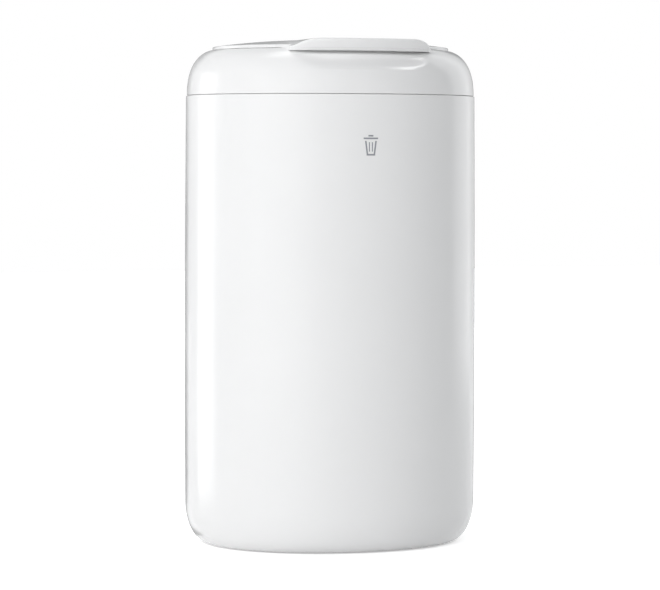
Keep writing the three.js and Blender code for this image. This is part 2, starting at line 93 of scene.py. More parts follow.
def ovalPoint(turn, inset, share=1.0):
    # a point of the outline moved in by inset, with its back pressed flat
    half = oval["halfWidth"] - inset
    deep = oval["frontDepth"] - inset
    x = half * signedPower(math.cos(turn), 2 / oval["power"])
    y = deep * signedPower(math.sin(turn), 2 / oval["power"])
    y = flattened(y, oval["backDepth"] - inset)
    return x * share, y * share + oval["widestY"]


def frontY(x, inset):
    left = 1 - (abs(x) / (oval["halfWidth"] - inset)) ** oval["power"]
    return oval["widestY"] - (oval["frontDepth"] - inset) * max(left, 0) ** (1 / oval["power"])


def sideX(y, inset):
    # here y counts from the widest line
    left = 1 - (abs(y) / (oval["frontDepth"] - inset)) ** oval["power"]
    return (oval["halfWidth"] - inset) * max(left, 0) ** (1 / oval["power"])


def turns(count=oval["around"]):
    return [2 * math.pi * i / count for i in range(count)]


def ovalLoop(inset, z, share=1.0):
    return [(*ovalPoint(turn, inset, share), z) for turn in turns()]


# Mesh makers


def filleted(corners, steps=5):
    # an open or closed path of (a, b, radius) corners, each rounded with the same number of points
    path = []
    last = len(corners) - 1
    most = 0.49  # of a side, so that the fillets at its two ends never meet
    for i, (a, b, radius) in enumerate(corners):
        here = Vector((a, b))
        if radius <= 0:
            path.append((a, b))
            continue
        before = Vector(corners[i - 1][:2]) - here
        after = Vector(corners[0 if i == last else i + 1][:2]) - here
        turn = before.angle(after)
        reach = min(radius / math.tan(turn / 2), before.length * most, after.length * most)
        start = here + before.normalized() * reach
        end = here + after.normalized() * reach
        for step in range(steps + 1):
            t = step / steps
            point = start * (1 - t) ** 2 + here * 2 * t * (1 - t) + end * t**2
            path.append((point.x, point.y))
    return path


def loftMesh(loops, isRing=False):
    # quads between equal loops of points, with both ends filled unless the loops close on themselves
    mesh = bmesh.new()
    size = len(loops[0])
    rows = [[mesh.verts.new(Vector(point) * mm) for point in loop] for loop in loops]
    bands = len(rows) if isRing else len(rows) - 1
    for band in range(bands):
        low, high = rows[band], rows[(band + 1) % len(rows)]
        for i in range(size):
            following = (i + 1) % size
            mesh.faces.new((low[i], low[following], high[following], high[i]))
    if not isRing:
        for row in (rows[0], rows[-1]):
            mesh.faces.new(row)
    bmesh.ops.recalc_face_normals(mesh, faces=mesh.faces)
    return mesh


def boxMesh(low, high):
    (x0, y0, z0), (x1, y1, z1) = low, high
    corners = [(x0, y0), (x1, y0), (x1, y1), (x0, y1)]
    return loftMesh([[(x, y, z) for x, y in corners] for z in (z0, z1)])


def turnedMesh(profile, middle, around):
    # turns (radius, z) points round an upright line, both ends closed on the axis
    x, y = middle
    loops = []
    for radius, z in profile:
        loops.append([(x + radius * math.cos(t), y + radius * math.sin(t), z) for t in turns(around)])
    return loftMesh(loops)


def joined(parts):
    # several bmeshes poured into one
    whole = bmesh.new()
    for part in parts:
        data = bpy.data.meshes.new("pour")
        part.to_mesh(data)
        part.free()
        whole.from_mesh(data)
        bpy.data.meshes.remove(data)
    return whole


def shade(mesh):
    # hard edges stay crisp, everything else is shaded smooth
    hard = math.radians(32)
    for face in mesh.faces:
        face.smooth = True
    for edge in mesh.edges:
        edge.smooth = len(edge.link_faces) == 2 and edge.calc_face_angle(0) < hard


def newObject(name, mesh, material=None):
    data = bpy.data.meshes.new(name)
    mesh.to_mesh(data)
    mesh.free()
    if material:
        data.materials.append(material)
    made = bpy.data.objects.new(name, data)
    bpy.context.scene.collection.objects.link(made)
    return made


def makePiece(name, mesh, material, body):
    shade(mesh)
    piece = newObject(name, mesh, material)
    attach(piece, body)
    return piece


def cutBy(piece, cutter):
    # takes a bmesh solid out of a piece
    tool = newObject("cutter", cutter)
    step = piece.modifiers.new("cut", "BOOLEAN")
    step.operation = "DIFFERENCE"
    step.solver = "EXACT"
    step.object = tool
    graph = bpy.context.evaluated_depsgraph_get()
    result = bpy.data.meshes.new_from_object(piece.evaluated_get(graph))
    piece.modifiers.clear()
    old, toolData = piece.data, tool.data
    piece.data = result
    result.name = piece.name
    bpy.data.meshes.remove(old)
    bpy.data.objects.remove(tool)
    bpy.data.meshes.remove(toolData)


def pourInto(piece, parts):
    # adds more closed shells to a finished piece
    mesh = bmesh.new()
    mesh.from_mesh(piece.data)
    extra = joined(parts)
    shade(extra)
    data = bpy.data.meshes.new("extra")
    extra.to_mesh(data)
    extra.free()
    mesh.from_mesh(data)
    bpy.data.meshes.remove(data)
    mesh.to_mesh(piece.data)
    mesh.free()


def keepMesh(mesh, y, sign):
    # the part of a closed bmesh on one side of a plane across Y, closed again there
    everything = mesh.verts[:] + mesh.edges[:] + mesh.faces[:]
    cut = bmesh.ops.bisect_plane(
        mesh, geom=everything, plane_co=(0, y * mm, 0), plane_no=(0, sign, 0), clear_outer=True
    )
    edges = [item for item in cut["geom_cut"] if isinstance(item, bmesh.types.BMEdge)]
    bmesh.ops.edgeloop_fill(mesh, edges=edges)
    bmesh.ops.recalc_face_normals(mesh, faces=mesh.faces)
    return mesh


# Materials: scales count noise cells per metre, and heights are in metres

whitePlastic = {
    "color": (0.87, 0.868, 0.866, 1),
    "roughness": 0.2,
    "roughnessSpread": 0.05,
    "speckScale": 900,
    "speckHeight": 0.00002,
    "waveScale": 16,
    "waveHeight": 0.00012,
    "mottle": 0.012,
}
satinPlastic = {
    "color": (0.74, 0.745, 0.75, 1),
    "roughness": 0.42,
    "roughnessSpread": 0.08,
    "speckScale": 1500,
    "speckHeight": 0.00006,
    "waveScale": 20,
    "waveHeight": 0.0001,
    "mottle": 0.02,
}
greyRubber = {
    "color": (0.09, 0.092, 0.095, 1),
    "roughness": 0.78,
    "roughnessSpread": 0.12,
    "speckScale": 2600,
    "speckHeight": 0.0001,
    "waveScale": 60,
    "waveHeight": 0.0001,
    "mottle": 0.12,
}
pinSteel = {
    "color": (0.6, 0.61, 0.62, 1),
    "roughness": 0.3,
    "roughnessSpread": 0.12,
    "drawnScale": 2200,
    "drawnHeight": 0.00004,
    "drawnAlong": (0.02, 1, 1),  # draw lines run along the pin
    "mottle": 0.06,
}
signInk = {
    "color": (0.28, 0.285, 0.31, 1),
    "roughness": 0.38,
    "roughnessSpread": 0.038,
    "grainScale": 3000,
    "mottle": 0.1,
}


def newMaterial(name):
    material = bpy.data.materials.new(name)
    material.use_nodes = True
    tree = material.node_tree
    tree.nodes.clear()
    surface = tree.nodes.new("ShaderNodeBsdfPrincipled")
    output = tree.nodes.new("ShaderNodeOutputMaterial")
    tree.links.new(surface.outputs["BSDF"], output.inputs["Surface"])
    where = tree.nodes.new("ShaderNodeTexCoord")
    return material, tree, surface, where.outputs["Object"]


def noiseAt(tree, where, scale, detail=2.0):
    noise = tree.nodes.new("ShaderNodeTexNoise")
    noise.inputs["Scale"].default_value = scale
    noise.inputs["Detail"].default_value = detail
    tree.links.new(where, noise.inputs["Vector"])
    return noise.outputs["Fac"]


def mapped(tree, source, before, after, isSmooth=False):
    # turns the range before into the range after
    span = tree.nodes.new("ShaderNodeMapRange")
    if isSmooth:
        span.interpolation_type = "SMOOTHSTEP"
    span.inputs["From Min"].default_value, span.inputs["From Max"].default_value = before
    span.inputs["To Min"].default_value, span.inputs["To Max"].default_value = after
    tree.links.new(source, span.inputs["Value"])
    return span.outputs["Result"]


def scaled(tree, vector, scale):
    squeeze = tree.nodes.new("ShaderNodeMapping")
    squeeze.inputs["Scale"].default_value = scale
    tree.links.new(vector, squeeze.inputs["Vector"])
    return squeeze.outputs["Vector"]


def tinted(tree, source, color, amount):
    # the colour, a little lighter and darker from place to place
    mix = tree.nodes.new("ShaderNodeMix")
    mix.data_type = "RGBA"
    mix.inputs["A"].default_value = [c * (1 - amount) for c in color[:3]] + [1]
    mix.inputs["B"].default_value = [min(c * (1 + amount), 1) for c in color[:3]] + [1]
    tree.links.new(source, mix.inputs["Factor"])
    return mix.outputs["Result"]


def bumped(tree, layers):
    # stacks bump layers of (height source, height)
    normal = None
    for source, height in layers:
        bump = tree.nodes.new("ShaderNodeBump")
        bump.inputs["Strength"].default_value = 1
        bump.inputs["Distance"].default_value = height
        tree.links.new(source, bump.inputs["Height"])
        if normal:
            tree.links.new(normal, bump.inputs["Normal"])
        normal = bump.outputs["Normal"]
    return normal


def vary(tree, surface, source, look):
    # colour and roughness that follow one noise, which mostly lies between 0.3 and 0.7
    middle, spread = look["roughness"], look["roughnessSpread"]
    rough = mapped(tree, source, (0.3, 0.7), (middle - spread, middle + spread))
    tree.links.new(tinted(tree, source, look["color"], look["mottle"]), surface.inputs["Base Color"])
    tree.links.new(rough, surface.inputs["Roughness"])


def mouldedPlastic(name, look):
    material, tree, surface, where = newMaterial(name)
    cloud = noiseAt(tree, where, look["waveScale"], 3)
    specks = noiseAt(tree, where, look["speckScale"])
    vary(tree, surface, cloud, look)
    layers = [(cloud, look["waveHeight"]), (specks, look["speckHeight"])]
    tree.links.new(bumped(tree, layers), surface.inputs["Normal"])
    surface.inputs["IOR"].default_value = 1.49
    return material


def drawnSteel(name, look):
    material, tree, surface, where = newMaterial(name)
    lines = noiseAt(tree, scaled(tree, where, look["drawnAlong"]), look["drawnScale"], 3)
    vary(tree, surface, lines, look)
    tree.links.new(bumped(tree, [(lines, look["drawnHeight"])]), surface.inputs["Normal"])
    surface.inputs["Metallic"].default_value = 1
    return material


def printedInk(name, look):
    material, tree, surface, where = newMaterial(name)
    vary(tree, surface, noiseAt(tree, where, look["grainScale"]), look)
    return material


glossWhite = mouldedPlastic("glossy white moulded plastic", whitePlastic)
satinWhite = mouldedPlastic("satin off-white moulded plastic", satinPlastic)
padRubber = mouldedPlastic("dark grey rubber", greyRubber)
pinMetal = drawnSteel("drawn steel wire", pinSteel)
greyInk = printedInk("grey printed ink", signInk)
print("materials made")


# Bucket

bucket = {
    "wall": 2.5,
    "floor": 2.8,
    "baseZ": shellLow[2] / mm,
    "topZ": shellHigh[2] / mm,
    "edgeInset": 12.9,
    "edgeHeight": 24.6,
    "edgeSteps": 20,
    "footWidth": 17.0,
    "footStep": 1.2,
    "footRecess": 2.2,
    "footTurn": (0.3, 0.25),
    "baseDraw": 0.2,
    "baseDrawTo": 70.0,
    "topDraw": 0.65,
    "topDrawFrom": 115.0,
    "outerGap": 6.0,
    "outerStop": 8.0,
    "innerRows": (240, 180, 120, 60),
    "rimDepth": 2.5,
    "rimRadius": 0.55,
    "ribs": 8,
    "ribThick": 1.8,
    "ribReach": 4.2,
    "ribFoot": 5.2,
    "ribTop": 250.0,
    "ribCorner": 0.4,
    "ribSunk": 1.0,
}
keyhole = {
    "x": 22.0,
    "z": 214.0,
    "headRadius": 4.6,
    "headSteps": 40,
    "slotRadius": 2.4,
    "slotRise": 9.0,
    "slotSteps": 20,
    "cutIn": 6.0,
    "cutOut": 4.0,
}


def wallDraw(z):
    # the wall is fullest half way up and draws in a little towards rim and base
    b = bucket
    lowEnd = b["baseZ"] + b["edgeHeight"]
    if z < b["baseDrawTo"]:
        return b["baseDraw"] * (1 - smoothStep((z - lowEnd) / (b["baseDrawTo"] - lowEnd)))
    return b["topDraw"] * max(z - b["topDrawFrom"], 0) ** 2 / (b["topZ"] - b["topDrawFrom"]) ** 2


def lowerEdge(steps, inset, lowZ, height):
    # the rounded lower edge, outside or inside
    b = bucket
    rows = []
    for i in steps:
        swing = i / b["edgeSteps"] * math.pi / 2
        along = b["edgeInset"] * (1 - math.sin(swing)) + b["baseDraw"] * math.sin(swing)
        rows.append((inset + along, lowZ + height * (1 - math.cos(swing))))
    return rows


def bucketRows():
    # from the recess under the base up the outside, over the rim and down the inside
    b = bucket
    base, top, inner = b["baseZ"], b["topZ"], b["wall"]
    footInner = b["edgeInset"] + b["footWidth"]
    turnIn, turnUp = b["footTurn"]
    rows = [(footInner + b["footStep"], base + b["footRecess"])]
    rows += [(footInner + turnIn, base + turnUp), (footInner - turnIn, base)]
    rows += lowerEdge(range(b["edgeSteps"] + 1), 0, base, b["edgeHeight"])
    z = base + b["edgeHeight"]
    while z < top - b["outerStop"]:
        z += b["outerGap"]
        rows.append((wallDraw(z), z))
    outer, below = wallDraw(top), top - b["rimDepth"]
    rim = [(outer, below, 0), (outer, top, b["rimRadius"]), (inner, top, b["rimRadius"]), (inner, below, 0)]
    rows += filleted(rim)
    rows += [(inner, z) for z in b["innerRows"]]
    lowFloor = base + b["floor"]
    rows += lowerEdge(range(b["edgeSteps"], -1, -2), inner, lowFloor, b["edgeHeight"] - b["floor"])
    rows += [(footInner, lowFloor), (footInner + b["footStep"], lowFloor + b["footRecess"])]
    return rows


def bucketRibs():
    b = bucket
    lowFloor = b["baseZ"] + b["floor"]
    section = [
        (-b["wall"] / 2, b["edgeHeight"]),
        (b["edgeInset"], lowFloor - b["ribSunk"]),
        (b["edgeInset"] + b["ribFoot"], lowFloor - b["ribSunk"]),
        (b["ribFoot"], b["edgeHeight"]),
        (b["ribReach"], b["ribTop"] - b["ribCorner"]),
        (b["ribReach"] - b["ribCorner"], b["ribTop"]),
        (-b["wall"] / 2, b["ribTop"]),
    ]
    nextBy = 0.001  # turn to a neighbouring point, which gives the wall's direction
    slabs = []
    for i in range(b["ribs"]):
        turn = (i + 0.5) / b["ribs"] * 2 * math.pi
        here = Vector(ovalPoint(turn, b["wall"]))
        along = (Vector(ovalPoint(turn + nextBy, b["wall"])) - here).normalized()
        inward = Vector((-along.y, along.x))
        loops = []
        for side in (-b["ribThick"] / 2, b["ribThick"] / 2):
            flat = [here + along * side + inward * depth for depth, _ in section]
            loops.append([(p.x, p.y, z) for p, (_, z) in zip(flat, section)])
        slabs.append(loftMesh(loops))
    return slabs


def keyholeCutter(x):
    k = keyhole
    head, slot = k["headRadius"], k["slotRadius"]
    meet = math.asin(slot / head)
    path = []
    for i in range(k["headSteps"] + 1):
        turn = math.pi / 2 + meet + i / k["headSteps"] * (2 * math.pi - 2 * meet)
        path.append((x + head * math.cos(turn), k["z"] + head * math.sin(turn)))
    for i in range(k["slotSteps"] + 1):
        turn = i / k["slotSteps"] * math.pi
        path.append((x + slot * math.cos(turn), k["z"] + k["slotRise"] + slot * math.sin(turn)))
    backY = oval["backDepth"] + oval["widestY"]
    return loftMesh([[(px, y, pz) for px, pz in path] for y in (backY - k["cutIn"], backY + k["cutOut"])])


def makeBucket():
    shell = loftMesh([ovalLoop(inset, z) for inset, z in bucketRows()])
    piece = makePiece("bucket_body", joined([shell, *bucketRibs()]), glossWhite, "bucket")
    for side in (-1, 1):
        cutBy(piece, keyholeCutter(side * keyhole["x"]))
    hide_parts("bucket_shell")


makeBucket()
print("bucket made")


# Foot pads

footPad = {"radius": 6.4, "top": 1.7, "round": 0.5, "topRound": 0.2, "hub": 0.2, "around": 64}


def middleXY(low, high):
    return (low[0] + high[0]) / 2 / mm, (low[1] + high[1]) / 2 / mm


def makeFootPads():
    p = footPad
    corners = [
        (p["hub"], 0, 0),
        (p["radius"], 0, p["round"]),
        (p["radius"], p["top"], p["topRound"]),
        (p["hub"], p["top"], 0),
    ]
    for node in ("front_left", "front_right", "back_left", "back_right"):
        pad = turnedMesh(filleted(corners, 6), middleXY(*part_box("foot_pad_" + node)), p["around"])
        piece = makePiece("pad_" + node, pad, padRubber, "bucket")
        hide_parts("foot_pad_" + node)


makeFootPads()
print("foot pads made")


# Liner ring

ring = {
    "outer": 3.1,
    "inner": 9.2,
    "band": 1.8,
    "lowZ": ringLow[2] / mm,
    "topZ": ringLow[2] / mm + 14,
    "tabTop": ringHigh[2] / mm,
    "tabHalf": 13.0,
    "tabCorner": 4.0,
    "tabSunk": 1.0,
    "tabRound": 0.6,
    "tabSteps": 40,
}


def ringTab(side):
    r = ring
    root, soft = r["topZ"] - r["tabSunk"], r["tabRound"]
    loops = []
    for step in range(r["tabSteps"] + 1):
        y = r["tabHalf"] * math.sin((2 * step / r["tabSteps"] - 1) * math.pi / 2)
        past = max(abs(y) - r["tabHalf"] + r["tabCorner"], 0)
        top = r["tabTop"] - r["tabCorner"] + math.sqrt(r["tabCorner"] ** 2 - past**2)
        outX, inX = sideX(y, r["inner"] - r["band"]), sideX(y, r["inner"])
        section = [(outX, root, 0), (outX, top, soft), (inX, top, soft), (inX, root, 0)]
        loops.append([(side * x, y + oval["widestY"], z) for x, z in filleted(section, 4)])
    return loftMesh(loops)


def makeRing():
    r = ring
    inside = r["inner"] - r["band"]
    corners = [
        (r["outer"], r["topZ"] - r["band"], 0.4),
        (r["outer"], r["topZ"], 0.6),
        (r["inner"], r["topZ"], 0.7),
        (r["inner"], r["lowZ"], 0.5),
        (inside, r["lowZ"], 0.5),
        (inside, r["topZ"] - r["band"], 0.8),
    ]
    hoop = loftMesh([ovalLoop(inset, z) for inset, z in filleted(corners)], isRing=True)
    whole = joined([hoop, ringTab(-1), ringTab(1)])
    piece = makePiece("liner_ring", whole, satinWhite, "bag_ring")
    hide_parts("bag_ring")


makeRing()
print("liner ring made")


# Collar

collar = {
    "seamZ": collarLow[2] / mm + 16.4,
    "bottomZ": collarLow[2] / mm + 16.38,
    "bottomInRound": 0.2,
    "bottomOutRound": 0.55,
    "inset": 1.15,
    "reach": 20.0,
    "rise": 27.5,
    "power": 2.35,
    "steps": 64,
    "skinStart": 0.7,
    "skinEnd": 0.12,
    "skinGap": 0.45,
    "landZ": flapLow[2] / mm + 3.1,
    "landDip": 0.02,
    "landStart": 16.3,
    "landSoft": 0.5,
    "landRow": 19.0,
    "wall": 2.4,
    "underSteps": 40,
    "underEnd": 0.4,
    "underGap": 1.5,
    "spigotZ": collarLow[2] / mm,
    "spigotInset": 2.9,
    "spigotWall": 1.6,
    "spigotRound": 0.5,
    "spigotRow": 260.0,
    "spigotLowRow": 256.0,
    "mouthInset": 24.0,
    "mouthBackY": 34.0,
    "mouthWall": 1.6,
    "mouthDrop": 4.5,
    "mouthRound": 0.5,
    "mouthLand": 1.5,
    "mouthCeiling": 3.0,
}
recess = {
    "below": 10.8,
    "startBelow": 0.25,  # as a share of the climb to the step
    "floorInset": 4.2,
    "backInset": 9.0,
    "stepBelow": 4.4,
    "stepDeep": 3.8,
    "stepRun": 3.0,
    "topHalf": 43.6,
    "lowHalf": 38.5,
    "widest": 1.3,  # times the half width
    "within": 52.0,
    "widenBy": 8.0,
    "power": 6,
    "soft": 2.2,
    "shallow": 4.0,
    "sideClimb": 3.0,
}
hinge = {
    "y": 44.0,
    "z": collar["landZ"] + 1.8,
    "radius": 2.6,
    "half": 48.0,
    "bore": 1.26,
    "pin": 1.2,
    "pinEnds": (20.4, 39.6),
    "pinEdge": 0.2,
    "troughHalf": 51.0,
    "troughZ": collar["landZ"] - 1.3,
    "troughTop": 2.0,
    "troughIn": 1.0,
    "deckY": 47.0,
    "lugs": ((20.0, 24.7), (35.3, 40.0)),
    "lugFoot": 4.7,
    "rollReach": 5.0,
    "rollBelow": 1.5,
    "rollAbove": 2.34,
    "gap": 0.3,
    "around": 96,
}
# The plate under the hinge's trough, measured from the trough's floor and edges
backing = {"front": 0.6, "back": 2.0, "low": 1.6, "high": 0.3}


def recessInset(x, z, skin):
    # how far the front surface lies in at (x, z): the shoulder, or the finger recess where that is deeper
    r = recess
    lowZ = collar["landZ"] - r["below"]
    stepZ = collar["landZ"] - r["stepBelow"]
    climb = min((z - lowZ) / (stepZ - lowZ), 1)
    widen = clamped((z - lowZ) / r["widenBy"])
    half = r["lowHalf"] + (r["topHalf"] - r["lowHalf"]) * widen * (2 - widen)
    away = abs(x) / half
    if climb < -r["startBelow"] or away > r["widest"]:
        return skin
    deep = r["floorInset"] + (r["backInset"] - r["floorInset"]) * math.sin(climb * math.pi / 2)
    deep += r["stepDeep"] * smoothStep((z - stepZ) / r["stepRun"])
    deeper = deep - skin
    side = (max(deeper, 0) + r["sideClimb"]) * away ** r["power"]
    return smoothMax(skin, skin + max(deeper, -r["shallow"]) - side, r["soft"])


def shoulderRows(inset, reach, rise, count):
    rows = []
    for i in range(1, count):
        turn = i / count * math.pi / 2
        along = 1 - math.cos(turn) ** (2 / collar["power"])
        rows.append((inset + reach * along, collar["seamZ"] + rise * math.sin(turn) ** (2 / collar["power"])))
    return rows


def evenRows(rows, gap):
    # the same line with points no further apart than gap
    out = [rows[0]]
    for a, b in zip(rows, rows[1:]):
        parts = max(math.ceil(math.dist(a, b) / gap), 1)
        for i in range(1, parts + 1):
            out.append(tuple(p + (q - p) * i / parts for p, q in zip(a, b)))
    return out


def collarLoop(inset, z, wall=0.0, hasRecess=True):
    loop = []
    for turn in turns():
        x, y = ovalPoint(turn, inset)
        if hasRecess and y < 0 and abs(x) < recess["within"]:
            y = frontY(x, recessInset(x, z, inset - wall) + wall)
        loop.append((x, y, z))
    return loop


def mouthLoop(inset, z):
    # the oval's front with a straight back edge
    backY = collar["mouthBackY"] + collar["mouthInset"] - inset
    return [(x, min(y, backY), z) for x, y in (ovalPoint(turn, inset) for turn in turns())]


def collarSkin():
    # the outside, from the skirt's lower edge over the shoulder to the land under the flap
    c = collar
    start = c["bottomZ"] + c["skinStart"]
    foot = [
        (c["spigotInset"], c["spigotRow"], 0),
        (c["spigotInset"], c["bottomZ"], c["bottomInRound"]),
        (c["inset"], c["bottomZ"], c["bottomOutRound"]),
        (c["inset"], start, 0),
    ]
    shoulder = shoulderRows(c["inset"], c["reach"], c["rise"], c["steps"])
    shoulder = [(inset, z) for inset, z in shoulder if z < c["landZ"] - c["skinEnd"]]
    skin = evenRows(
        [(c["inset"], start), *shoulder, (c["landStart"], c["landZ"] - c["landDip"])], c["skinGap"]
    )
    loops = [collarLoop(inset, z, hasRecess=False) for inset, z in filleted(foot)]
    loops += [collarLoop(inset, z) for inset, z in skin[1:]]
    loops += [collarLoop(inset, c["landZ"]) for inset in (c["landStart"] + c["landSoft"], c["landRow"])]
    return loops


def collarMouth(ceiling):
    c = collar
    low, soft = ceiling - c["mouthDrop"], c["mouthRound"]
    outer = c["mouthInset"] - c["mouthWall"]
    corners = [
        (c["mouthInset"] - c["mouthLand"], c["landZ"], 0),
        (c["mouthInset"], c["landZ"], soft),
        (c["mouthInset"], low, soft),
        (outer, low, soft),
        (outer, ceiling, soft),
        (c["mouthInset"] - c["mouthCeiling"], ceiling, 0),
    ]
    return [mouthLoop(inset, z) for inset, z in filleted(corners)]


def collarInside(ceiling):
    # the underside of the shoulder, and the spigot that drops into the bucket
    c = collar
    wall, soft = c["wall"], c["spigotRound"]
    inner = c["spigotInset"] + c["spigotWall"]
    under = shoulderRows(c["inset"] + wall, c["reach"] - wall, c["rise"] - wall, c["underSteps"])
    under = [(max(inset, inner), z) for inset, z in under if z < ceiling - c["underEnd"]]
    spigot = [
        (inner, c["spigotRow"], 0),
        (inner, c["spigotZ"], soft),
        (c["spigotInset"], c["spigotZ"], soft),
        (c["spigotInset"], c["spigotLowRow"], 0),
    ]
    loops = [collarLoop(c["landStart"] + wall, ceiling, wall)]
    loops += [collarLoop(inset, z, wall) for inset, z in reversed(evenRows(under, c["underGap"]))]
    loops += [collarLoop(inset, z, hasRecess=False) for inset, z in filleted(spigot)]
    return loops


def makeCollar():
    c, h = collar, hinge
    ceiling = c["landZ"] - c["wall"]
    loops = collarSkin() + collarMouth(ceiling) + collarInside(ceiling)
    piece = makePiece("collar_shell", loftMesh(loops, isRing=True), glossWhite, "collar")
    x = h["troughHalf"]
    low = (-x, c["mouthBackY"] - h["troughIn"], h["troughZ"])
    cutBy(piece, boxMesh(low, (x, h["deckY"], c["landZ"] + h["troughTop"])))
    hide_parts("lid_collar")
    return piece


# The dome of the flap and of the fixed strip behind it

dome = {
    "inset": 16.5,
    "low": flapLow[2] / mm + 3.28,
    "edge": 1.92,
    "round": 0.8,
    "roundSteps": 8,
    "roundStart": 0.01,
    "stripSunk": 1.0,
    "rise": 4.35,
    "power": 2.3,
    "steps": 40,
}


def domeRows(inset, low, drop):
    d = dome
    top = d["low"] + d["edge"] - drop
    rows = [(inset, low, 1), (inset, top - d["round"] - d["roundStart"], 1)]
    for i in range(1, d["roundSteps"] + 1):
        turn = i / d["roundSteps"] * math.pi / 2
        rows.append((inset + d["round"] * (1 - math.cos(turn)), top - d["round"] * (1 - math.sin(turn)), 1))
    for i in range(1, d["steps"]):
        share = 1 - i / d["steps"]
        rows.append((inset + d["round"], top + d["rise"] * (1 - share ** d["power"]), share))
    return rows


def domeMesh(inset, low, drop=0.0):
    return loftMesh([ovalLoop(step, z, share) for step, z, share in domeRows(inset, low, drop)])


def domeZ(x, y, drop=0.0):
    d = dome
    inset = d["inset"] + d["round"]
    rel = y - oval["widestY"]
    wide = (abs(x) / (oval["halfWidth"] - inset)) ** oval["power"]
    deep = (abs(rel) / (oval["frontDepth"] - inset)) ** oval["power"]
    share = max((wide + deep) ** (1 / oval["power"]), rel / (oval["backDepth"] - inset))
    return d["low"] + d["edge"] - drop + d["rise"] * (1 - min(share, 1) ** d["power"])


# Bars along the hinge axis: lugs, pins and the flap's rolled edge with its knuckles


def barLoft(radiusAt, bore, x0, x1, edge=0.25):
    # a bar with an outline given by angle, and with a bore if wanted
    def loop(x, shrink=0.0, fixed=None):
        points = []
        for turn in turns(hinge["around"]):
            r = fixed or radiusAt(turn) - shrink
            points.append((x, hinge["y"] + r * math.cos(turn), hinge["z"] + r * math.sin(turn)))
        return points

    loops = [loop(x0, edge), loop(x0 + edge), loop(x1 - edge), loop(x1, edge)]
    if not bore:
        return loftMesh(loops)
    return loftMesh([loop(x0, fixed=bore), *loops, loop(x1, fixed=bore)], isRing=True)


def boxReach(turn, front, back, below, above):
    # how far a ray from the axis runs inside a box round it
    across, up = math.cos(turn), math.sin(turn)
    reach = [
        (back if across > 0 else front) / max(abs(across), 1e-6),
        (above if up > 0 else below) / max(abs(up), 1e-6),
    ]
    return min(reach)


def lugRadius(turn):
    h = hinge
    return max(h["radius"], boxReach(turn, h["radius"], h["radius"], h["lugFoot"], 0))


def rollRadius(turn):
    h = hinge
    return max(h["radius"], boxReach(turn, h["rollReach"], 0, h["rollBelow"], h["rollAbove"]))


def mirroredSpans(spans):
    return [*spans, *[(-b, -a) for a, b in spans]]


def addCollarParts(piece):
    h, c, b = hinge, collar, backing
    strip = keepMesh(domeMesh(dome["inset"], c["landZ"] - dome["stripSunk"]), h["deckY"], -1)
    x = h["troughHalf"]
    low = (-x, c["mouthBackY"] + b["front"], h["troughZ"] - b["low"])
    high = (x, h["deckY"] + b["back"], h["troughZ"] - b["high"])
    lugs = [barLoft(lugRadius, h["bore"], start, end) for start, end in mirroredSpans(h["lugs"])]
    pourInto(piece, [strip, boxMesh(low, high), *lugs])


def makePins():
    for side, name in ((-1, "left"), (1, "right")):
        ends = sorted(side * x for x in hinge["pinEnds"])
        bar = barLoft(lambda turn: hinge["pin"], None, *ends, edge=hinge["pinEdge"])
        piece = makePiece("pin_" + name, bar, pinMetal, "collar")
        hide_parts("hinge_pin_" + name)


stop = {"radius": 1.8, "round": 0.1, "topRound": 0.15, "hub": 0.1, "under": 0.02, "around": 40}


def makeStops():
    s = stop
    for name in ("left", "right"):
        low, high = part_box("bumper_" + name)
        bottom = low[2] / mm
        top = min(high[2] / mm, dome["low"] - s["under"])  # the flap lies on it
        corners = [
            (s["hub"], bottom, 0),
            (s["radius"], bottom, s["round"]),
            (s["radius"], top, s["topRound"]),
            (s["hub"], top, 0),
        ]
        rubber = turnedMesh(filleted(corners, 4), middleXY(low, high), s["around"])
        piece = makePiece("stop_" + name, rubber, padRubber, "collar")
        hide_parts("bumper_" + name)


addCollarParts(makeCollar())
makePins()
makeStops()
print("collar made")


# Flap

flap = {
    "plateBack": 3.0,
    "hollowBack": 5.0,
    "rimWall": 2.0,
    "thick": 2.2,
    "skirtInset": 26.0,
    "skirtWall": 1.4,
    "skirtDrop": 3.4,
    "skirtTop": 2.2,
    "skirtRound": 0.5,
    "skirtBackY": 32.0,
}
rib = {
    "atX": (-30, 0, 30),
    "atY": (-18, 10),
    "half": 0.7,
    "start": 1.2,
    "backY": 40.0,
    "under": 1.1,
    "low": 0.3,
    "steps": 48,
}
lip = {
    "half": 43.4,
    "halfSteps": 50,
    "flare": 6.2,  # the ends run out into the flap's rim over this width
    "flareSteps": 16,
    "flatHalf": 28.0,
    "fallPower": 2.2,
    "fallEase": 0.68,
    "lowZ": collar["landZ"] - 1.8,
    "lowPower": 1.5,
    "topZ": collar["landZ"] + 5.25,
    "shelfZ": collar["landZ"] + 0.9,
    "shelfRise": 1.0,
    "shelfSoft": 1.6,
    "front": 5.6,
    "lean": 3.4,
    "endRound": 4.6,
    "endStart": 32.5,
    "endSunk": 0.1,
    "endLift": 0.02,
    "brow": 0.8,
    "browLean": 0.2,
    "browEase": 0.25,
    "foot": 3.0,
    "footShare": 0.34,
    "grip": 10.1,
    "gripBehind": 0.9,
    "gripRun": 0.6,
    "gripEnd": 0.8,
    "root": 42.0,
    "rootSunk": 0.15,
    "rootUnder": 1.2,
}
